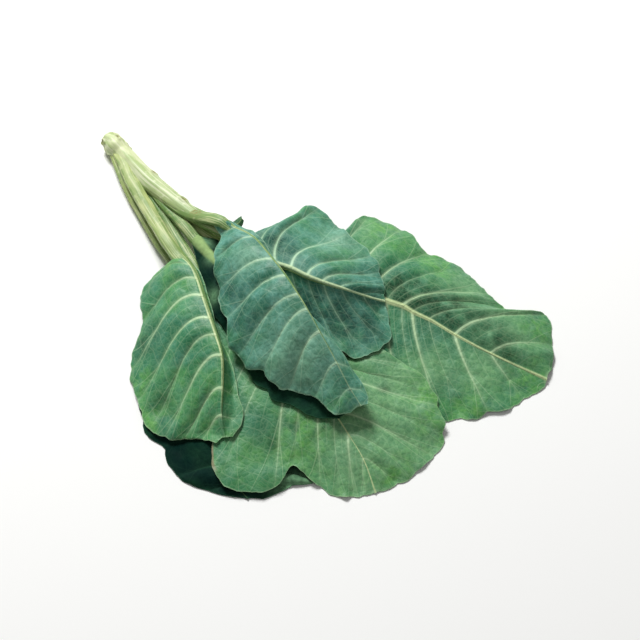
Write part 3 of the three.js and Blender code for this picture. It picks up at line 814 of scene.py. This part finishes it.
def make_leaf(leaf, seed, pile, origin, materials):
    """One leaf: its blade with both faces, and its stem and midrib as one tapering bar."""
    blade = blade_middle(leaf, seed)
    settle(leaf, blade, pile)
    centres, radii = stem_path(leaf, blade)
    rings = bar(centres, radii, STEM_SIDES, RIB_ROUND, RIB_FLAT, STEM_RIDGES)
    outward = unit(rings - centres[:, None, :])
    rings += outward * (bumps(rings, STEM_LUMPS, seed) * radii[:, None])[..., None]
    rings[..., 2] = np.maximum(rings[..., 2], 0)
    layers = vein_layers(leaf, blade, seed)
    normals = grid_normals(blade["points"])
    line = rib_line(leaf, blade["share"])[:, None]
    from_mid = np.abs(blade["across"])[None, :] * blade["reach"]
    ridge = RIB_STAND * line * np.exp(-((from_mid / line) ** 2))
    top = blade["points"] + normals * (BLADE / 2 + ridge)[..., None]
    bm = bmesh.new()
    add_grid(bm, top + origin, layers)
    lower = bmesh.ops.solidify(bm, geom=bm.faces[:], thickness=BLADE * MM)
    for item in lower["geom"]:
        if isinstance(item, bmesh.types.BMFace):
            item.material_index = UNDERSIDE
    before = set(bm.faces)
    add_grid(bm, rings + origin, stem_layers(leaf, centres, radii, rings), wrap=True)
    for face in bm.faces:
        if face not in before:
            face.material_index = STEM_SKIN
    piece = finish_mesh(bm, f"{leaf['name']}_leaf", materials)
    pile.lay(top)
    pile.lay(rings)
    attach(piece, "root")
    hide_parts(f"leaf_{leaf['name']}")
    return piece


def stalk_line(step):
    """Centres and radii of the stalk about one step apart, and the share of the way to each."""
    centres = np.array(STALK, float)[:, :3]
    fine = smooth_curve(centres, np.linspace(0, 1, FINE))
    length = np.sum(np.linalg.norm(np.diff(fine, axis=0), axis=1))
    share = np.linspace(0, 1, round(length / step) + 1)
    radii = smooth_curve([(r, 0, 0) for *_, r in STALK], share)[:, 0]
    return smooth_curve(centres, share), radii, share


def place_bunch():
    """Where the bunch's own origin lies in the frame, from the lowest corner of the CAD stalk."""
    centres, radii, _ = stalk_line(CAD_STALK_STEP)
    drawn = bar(centres, radii, CAD_STALK_SIDES, 1, 1)
    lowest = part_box("stalk")[0]
    return np.array([lowest.x / MM - drawn[..., 0].min(), lowest.y / MM - drawn[..., 1].min(), 0])


def make_stalk(relief, origin, materials):
    """The short stalk with long ridges, leaf scars and a cut end."""
    centres, radii, share = stalk_line(STALK_STEP)
    rings = bar(centres, radii, STALK_SIDES, 1, 1, STALK_RIDGES)
    outward = unit(rings - centres[:, None, :])
    turn = 2 * np.pi * (np.arange(STALK_SIDES) + 0.5) / STALK_SIDES
    scarred = np.zeros(rings.shape[:2])
    lip_place, lip_width, lip_height = LIP
    hollow_width, hollow_depth = HOLLOW
    for place, angle, size in SCARS:
        at = np.abs(share - place).argmin()
        aside = (turn - math.radians(angle) + np.pi) % (2 * np.pi) - np.pi
        gap_along = np.linalg.norm(centres - centres[at], axis=1)[:, None] / (size * SCAR_LONG)
        gap_round = (aside * radii[at] / size)[None, :]
        gap = np.sqrt(gap_along**2 + gap_round**2)
        lip = np.exp(-(((gap - lip_place) / lip_width) ** 2)) * size * lip_height
        hollow = np.exp(-((gap / hollow_width) ** 2)) * size * hollow_depth
        rings += outward * (lip - hollow)[..., None]
        scarred = np.maximum(scarred, np.exp(-((gap / STAINED) ** 2)))
    rings += outward * bumps(rings, STALK_LUMPS, STALK_SEED)[..., None]
    rings[..., 2] = np.maximum(rings[..., 2], 0)
    run = (share * len(share) * STALK_STEP)[:, None]
    around = np.linspace(0, 1, STALK_SIDES, endpoint=False)[None, :]
    greenest, green_from, green_to = STALK_GREEN
    layers = {
        "scar": scarred,
        "run_mm": run + 0 * around,
        "turn": around + 0 * run,
        "greening": greenest * ease(run, green_from, green_to) + 0 * around,
    }
    bm = bmesh.new()
    add_grid(bm, rings + origin, layers, wrap=True)
    # Only the two ends have more than four corners.
    for face in bm.faces:
        if len(face.verts) > 4:
            face.material_index = CUT_END
    piece = finish_mesh(bm, "cut_stalk", materials)
    relief.lay(rings)
    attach(piece, "root")
    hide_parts("stalk")
    return piece


def linear(hex_colour):
    """An sRGB hex colour as linear RGBA."""
    parts = [int(hex_colour[k : k + 2], 16) / 255 for k in (1, 3, 5)]
    lit = [c / 12.92 if c <= 0.04045 else ((c + 0.055) / 1.055) ** 2.4 for c in parts]
    return (*lit, 1)


def feed(node, inputs):
    """Links or sets inputs of a node, each by its name or its number."""
    for name, value in inputs.items():
        if isinstance(value, bpy.types.NodeSocket):
            node.id_data.links.new(value, node.inputs[name])
        else:
            node.inputs[name].default_value = value


def add_node(tree, kind, inputs=(), output=0, **settings):
    """Adds a node with its settings, feeds it, and gives one of its outputs."""
    node = tree.nodes.new(f"ShaderNode{kind}")
    for name, value in settings.items():
        setattr(node, name, value)
    feed(node, inputs if isinstance(inputs, dict) else dict(enumerate(inputs)))
    return node.outputs[output]


def start_material(name):
    """A new material with its shader, and the function that adds a node to it."""
    material = bpy.data.materials.new(name)
    material.use_nodes = True
    tree = material.node_tree
    return material, tree.nodes["Principled BSDF"], partial(add_node, tree)


def strength(add, *factors):
    """The product of some amounts. One given as (amount, full, gone) fades out between the two."""
    product = None
    for factor in factors:
        if isinstance(factor, tuple):
            factor = add("MapRange", (*factor, 1.0, 0.0), interpolation_type="SMOOTHSTEP")
        if product is None:
            product = factor
        else:
            product = add("Math", (product, factor), operation="MULTIPLY")
    return product


def paint(add, colour, coats):
    """Lays coats over a first colour. Each coat is the factors of its strength, and its colour."""
    colour = linear(colour)
    for factors, tint in coats:
        inputs = {"Factor": strength(add, *factors), "A": colour, "B": linear(tint)}
        colour = add("Mix", inputs, "Result", data_type="RGBA")
    return colour


# What vein_layers and stem_layers leave on the meshes for the materials
BLADE_LAYERS = """
    u bold side_mm fork_mm minor_mm rung mid_mm past_fade rib_show
    edge_mm wax pale deep fresh worn
""".split()
STEM_LAYERS = "greening scar turn run_mm".split()

# Patches on a leaf: width in millimetres and detail
LEAF_PATCHES = {
    "growth": (55, 2.0),  # older and younger green
    "wax": (18, 3.0),  # thick wax here and rubbed wax there
    "cells": (5, 3.0),  # small bumps and specks between the finest veins
    "shade": (15, 3.0),  # uneven edges of the painted shade spots
    "young": (12, 2.0),  # uneven edges of the fresh spots
}

# The real net of veins has meshes 1 to 3 mm wide, too fine to show in the render. It is drawn
# with meshes this wide, and bent a little so that it doesn't look like a honeycomb.
NET_MESH = 6.5
FINE_MESH = 2.6
NET_BENDS = 120.0  # bends to the metre
NET_BENT = 0.003  # metres that they reach

# Side veins
VEIN_WIDTH = 1.75  # half width of a bold one at the midrib, in millimetres
VEIN_TAPER = 1.2  # how much of that is gone at the margin
FAINT_WIDTH = 0.4  # how wide the faintest one is against a bold one
VEIN_SHOWS = 1.18  # how strongly a bold one shows at the midrib, which is 1 less at the margin

# How strongly each kind of finer vein shows against a side vein
FORK_SHOWS = 0.34
MINOR_SHOWS = 0.22
RUNG_SHOWS = 0.18
NET_SHOWS = 0.14
FINE_NET_SHOWS = 0.08

LEAF_RELIEF = (0.9, 0.6)  # height of the veins and cells in millimetres, and strength of the bump
LEAF_SHINE = 0.36  # specular level: plant wax mirrors less than a smooth plastic does
DRY_MARGIN = "#8f7a62"  # browned leaf at a worn margin


def vein_net(add, place):
    """Distance from the lines of the wide net and of the fine one, in meshes."""
    warp = add("TexNoise", {"Vector": place, "Scale": NET_BENDS, "Detail": 2.0}, "Color")
    bent = add("VectorMath", (warp, (NET_BENT,) * 3, place), operation="MULTIPLY_ADD")
    return [
        add("TexVoronoi", {"Vector": bent, "Scale": 1 / (mesh * MM)}, feature="DISTANCE_TO_EDGE")
        for mesh in (NET_MESH, FINE_MESH)
    ]


def draw_veins(add, layer, net, fine_net):
    """How strongly side veins and all that branches from them show, and the glow beside them."""
    u, bold, side_mm = layer["u"], layer["bold"], layer["side_mm"]
    taper = add("Math", (u, -VEIN_TAPER, VEIN_WIDTH), operation="MULTIPLY_ADD")
    wider = add("Math", (bold, 1 - FAINT_WIDTH, FAINT_WIDTH), operation="MULTIPLY_ADD")
    width = strength(add, taper, wider)
    weaker = add("Math", (u, -1.0, VEIN_SHOWS), operation="MULTIPLY_ADD")
    shown = strength(add, bold, weaker)
    side = add("Math", (side_mm, width), operation="DIVIDE")
    fork_mm = add("Math", (layer["fork_mm"],), operation="ABSOLUTE")
    fork = add("Math", (fork_mm, width), operation="DIVIDE")
    rung = add("Math", (layer["rung"], 0.5), operation="PINGPONG")
    lines = strength(add, (side, 0.35, 1.3), shown)
    for factors in (
        ((fork, 0.2, 1.0), FORK_SHOWS),
        ((layer["minor_mm"], 0.2, 0.9), (u, 0.35, 0.75), MINOR_SHOWS),
        ((rung, 0.01, 0.06), RUNG_SHOWS),
        ((net, 0.0, 0.08), NET_SHOWS),
        ((fine_net, 0.0, 0.1), FINE_NET_SHOWS),
    ):
        lines = add("Math", (lines, strength(add, *factors)), operation="MAXIMUM")
    glow = strength(add, (side_mm, 0.5, 5.0), shown)
    return lines, glow


# pale and deep are the colours of painted light and painted shade.
def leaf_face(name, body, fresh, wax, pale, deep, vein, rib, roughness, veins_show, shine=LEAF_SHINE):
    """A face of a leaf: green with fresher and waxier patches, spots of painted light and painted shade,
    and pale veins.
    """
    material, shader, add = start_material(name)
    place = add("TexCoord", output="Object")
    layer = {key: add("Attribute", output="Fac", attribute_name=key) for key in BLADE_LAYERS}
    patch = {
        key: add("TexNoise", {"Vector": place, "Scale": 1 / (size * MM), "Detail": detail})
        for key, (size, detail) in LEAF_PATCHES.items()
    }
    net, fine_net = vein_net(add, place)
    lines, glow = draw_veins(add, layer, net, fine_net)
    edge_mm = layer["edge_mm"]
    young = strength(add, (patch["growth"], 0.66, 0.4))
    margin = strength(add, (edge_mm, 0.0, 14.0))
    young = add("Math", (margin, 0.35, young), operation="MULTIPLY_ADD")
    # Painted shade: the deep spots darken the blade where it lies in shade, with uneven edges.
    shadow = strength(add, layer["deep"], (patch["shade"], 0.7, 0.2), 0.9)
    shadow = add("Math", (shadow, 0.9), operation="MINIMUM")
    worn_midrib = add("Math", (patch["cells"], -0.6, 1.2), operation="MULTIPLY_ADD")
    midrib = (layer["mid_mm"], 0.7, 1.5)
    past_fade = (layer["past_fade"], 0.0, 0.35)
    coats = (
        ((young, 0.55), fresh),  # young green in broad patches and along the margin
        ((layer["wax"], (patch["wax"], 0.7, 0.3)), wax),
        # Painted light: the pale spots lighten the blade where it catches more light.
        ((layer["pale"], 0.75), pale),
        # Painted shade, from the deep spots.
        ((shadow,), deep),
        ((layer["fresh"], (patch["young"], 0.66, 0.3)), fresh),
        (((patch["cells"], 0.4, 0.62), 0.35), body),
        ((glow, 0.3), vein),
        ((lines, veins_show), vein),
        ((midrib, past_fade, layer["rib_show"], worn_midrib), rib),
        (((edge_mm, 0.2, 1.1), 0.35), vein),  # thin light rim of the margin
        (((edge_mm, 2.0, 6.0), layer["worn"], 0.8), DRY_MARGIN),
    )
    rough = add("Math", (patch["wax"], 0.3, roughness - 0.15), operation="MULTIPLY_ADD")
    rough = add("Math", (shadow, 0.4, rough), operation="MULTIPLY_ADD")
    pillows = add("Math", (net, 0.3, 0.2), operation="SMOOTH_MIN")
    raised = add("Math", (lines, 0.6), operation="MULTIPLY")
    height = add("Math", (pillows, 1.4, raised), operation="MULTIPLY_ADD")
    height = add("Math", (patch["cells"], 0.5, height), operation="MULTIPLY_ADD")
    depth, bump = LEAF_RELIEF
    normal = add("Bump", {"Height": height, "Distance": depth * MM, "Strength": bump})
    colour = paint(add, body, coats)
    look = {"Base Color": colour, "Roughness": rough, "Specular IOR Level": shine, "Normal": normal}
    feed(shader, look)
    return material


# Patches on a stem: width in millimetres and detail
STEM_PATCHES = {
    "green": (26, 2.0),
    "light": (7, 3.0),
    "cork": (3, 2.0),  # uneven edges of the scars
}

# Ribs on a stem: how many go round it, and how many millimetres they run before they end
WIDE_RIBS = (9.0, 60.0)
THIN_RIBS = (30.0, 40.0)

STEM_RELIEF = (1.2, 0.7)  # height of the ribs in millimetres, and strength of the bump
CORKY_SCAR = "#7d7a3a"

# Ends of vessels in the cut pith, in millimetres. Real ones are about 0.3 mm wide, too fine to
# show in the render, and are drawn this coarse.
PITH_GRAIN = 1.2


def stem_skin(name, pale, green, groove, ridge):
    """The ribbed skin of a leaf stem, greener where it thins out into the blade."""
    material, shader, add = start_material(name)
    place = add("TexCoord", output="Object")
    layer = {key: add("Attribute", output="Fac", attribute_name=key) for key in STEM_LAYERS}
    patch = {
        key: add("TexNoise", {"Vector": place, "Scale": 1 / (size * MM), "Detail": detail})
        for key, (size, detail) in STEM_PATCHES.items()
    }
    ribs = []
    for around, length in (WIDE_RIBS, THIN_RIBS):
        across = add("Math", (layer["turn"], around), operation="MULTIPLY")
        along = add("Math", (layer["run_mm"], 1 / length), operation="MULTIPLY")
        unrolled = add("CombineXYZ", (across, along))
        ribs.append(add("TexNoise", {"Vector": unrolled, "Scale": 1.0, "Detail": 3.0}))
    wide, thin = ribs
    coats = (
        ((layer["greening"],), green),  # greener toward the blade
        (((patch["green"], 0.68, 0.42), 0.45), green),
        (((wide, 0.62, 0.48), 0.8), groove),
        (((thin, 0.36, 0.5), 0.6), ridge),
        (((patch["light"], 0.72, 0.56), 0.4), ridge),
        ((layer["scar"], (patch["cork"], 0.6, 0.3)), CORKY_SCAR),
    )
    low = add("Math", (thin, 0.6), operation="MULTIPLY")
    height = add("Math", (wide, low), operation="ADD")
    depth, bump = STEM_RELIEF
    normal = add("Bump", {"Height": height, "Distance": depth * MM, "Strength": bump})
    feed(shader, {"Base Color": paint(add, pale, coats), "Roughness": 0.5, "Normal": normal})
    return material


def cut_pith():
    """The freshly cut end of the stalk."""
    # Moist spongy pith: pale, even and without gloss, with a fine grain of vessel ends.
    material, shader, add = start_material("cut_pith")
    place = add("TexCoord", output="Object")
    grain = add("TexVoronoi", {"Vector": place, "Scale": 1 / (PITH_GRAIN * MM)})
    feed(shader, {"Base Color": paint(add, "#e6ebc6", [((grain,), "#c2cc92")]), "Roughness": 0.6})
    return material


def white_paper():
    """The floor."""
    # Uncoated paper: white, matt and without a reflection.
    material, shader, _ = start_material("matt_white_paper")
    feed(shader, {"Base Color": linear("#fbfbf9"), "Roughness": 0.9, "Specular IOR Level": 0.1})
    return material


def make_camera(origin):
    """The camera at the photograph's angle, as far off as its scale asks for."""
    data = bpy.data.cameras.new("camera")
    data.lens = LENS
    data.sensor_width = SENSOR
    camera = bpy.data.objects.new("camera", data)
    bpy.context.scene.collection.objects.link(camera)
    turn, down = math.radians(TURN), math.radians(DOWN)
    level = math.cos(down)
    back = Vector((math.sin(turn) * level, -math.cos(turn) * level, math.sin(down)))
    distance = MM_PER_PIXEL * IMAGE * LENS / SENSOR
    target = Vector(np.array(LOOK_AT) + origin)
    camera.location = (target + back * distance) * MM
    camera.rotation_euler = (-back).to_track_quat("-Z", "Y").to_euler()
    bpy.context.scene.camera = camera


def make_light(name, direction, distance, size, watts):
    """A soft square light that looks at the bunch from the given direction."""
    data = bpy.data.lights.new(name, "AREA")
    data.shape = "SQUARE"
    data.size = size
    data.energy = watts
    light = bpy.data.objects.new(name, data)
    way = Vector(direction).normalized()
    light.location = way * distance
    light.rotation_euler = way.to_track_quat("Z", "Y").to_euler()
    bpy.context.scene.collection.objects.link(light)


def make_studio():
    """A plain pale floor, one large soft light from behind on the left, and a weak fill."""
    bm = bmesh.new()
    bmesh.ops.create_grid(bm, x_segments=1, y_segments=1, size=FLOOR_REACH)
    bmesh.ops.translate(bm, verts=bm.verts, vec=(0, 0, -FLOOR_DROP))
    mesh = bpy.data.meshes.new("floor")
    bm.to_mesh(mesh)
    bm.free()
    mesh.materials.append(white_paper())
    floor = bpy.data.objects.new("floor", mesh)
    bpy.context.scene.collection.objects.link(floor)
    make_light("key", *KEY_LIGHT)
    make_light("fill", *FILL_LIGHT)
    world = bpy.data.worlds.new("studio")
    bpy.context.scene.world = world
    world.use_nodes = True
    feed(world.node_tree.nodes["Background"], {"Color": (1, 1, 1, 1), "Strength": ROOM_LIGHT})
    bpy.context.scene.view_settings.view_transform = "Standard"


origin = place_bunch()
make_camera(origin)
make_studio()

# A living leaf under its thin skin of plant wax: mid green, with a soft broad sheen where it
# catches the light and no sharp gloss, and pale juicy veins that show through.
green = leaf_face(
    "waxy_green_leaf",
    body="#27704a",
    fresh="#5fa34e",
    wax="#5fa08c",
    pale="#7bae79",
    deep="#0c3e22",
    vein="#bddbac",
    rib="#c2d49b",
    roughness=0.5,
    veins_show=0.85,
)

# The same leaf where the wax stands up as a fine powder: it scatters light, which makes the
# green cooler, paler and duller.
blue_green = leaf_face(
    "bloomed_blue_green_leaf",
    body="#246850",
    fresh="#4a8f5a",
    wax="#64a494",
    pale="#7eb093",
    deep="#0f4038",
    vein="#b6d9b4",
    rib="#bdd3a4",
    roughness=0.52,
    veins_show=0.8,
)

# Painted shade: a nearly black green face without gloss, whose veins hardly show, for leaves
# that lie in the bunch's shade. Its pale colour is painted light where such a leaf catches some.
dark = leaf_face(
    "painted_shade_dark_leaf",
    body="#04201c",
    fresh="#1f4f30",
    wax="#0c302c",
    pale="#78a87c",
    deep="#04201c",
    vein="#3c6a4c",
    rib="#98b676",
    roughness=0.7,
    veins_show=0.25,
    shine=0.06,
)

# The underside has no thick wax, and air in its spongy tissue: paler, greyer and quite matt.
underside = leaf_face(
    "dull_leaf_underside",
    body="#7b9c7c",
    fresh="#89a874",
    wax="#94b3a0",
    pale="#89a874",
    deep="#6a8c6c",
    vein="#c3d6af",
    rib="#c3d6af",
    roughness=0.7,
    veins_show=0.8,
)

# Leaf stems: smooth tough skin over crisp pale flesh, with strings under it that stand out as
# ribs and give a satin sheen in long streaks.
stem = stem_skin("pale_stem_skin", "#afbd74", "#5f8a49", "#74934c", "#ccd19c")

# The stalk's rind is the same skin, older and paler, with corky scars where leaves were picked.
rind = stem_skin("stalk_rind", "#d0d9a6", "#769c54", "#9db46e", "#e4e7c6")
pith = cut_pith()

# The inner leaf stands in the shade between its neighbours, so that it gets the dark face with painted
# shade.
faces = {"leaf_green": green, "leaf_blue_green": blue_green, "leaf_shaded": dark}
pile = Relief()
make_stalk(pile, origin, [rind, pith])
for number, leaf in enumerate(LEAVES):
    upper_face = dark if leaf["name"] == "inner" else faces[leaf["slot"]]
    seed = SEED_STEP * number + FIRST_SEED
    make_leaf(leaf, seed, pile, origin, [upper_face, underside, stem])
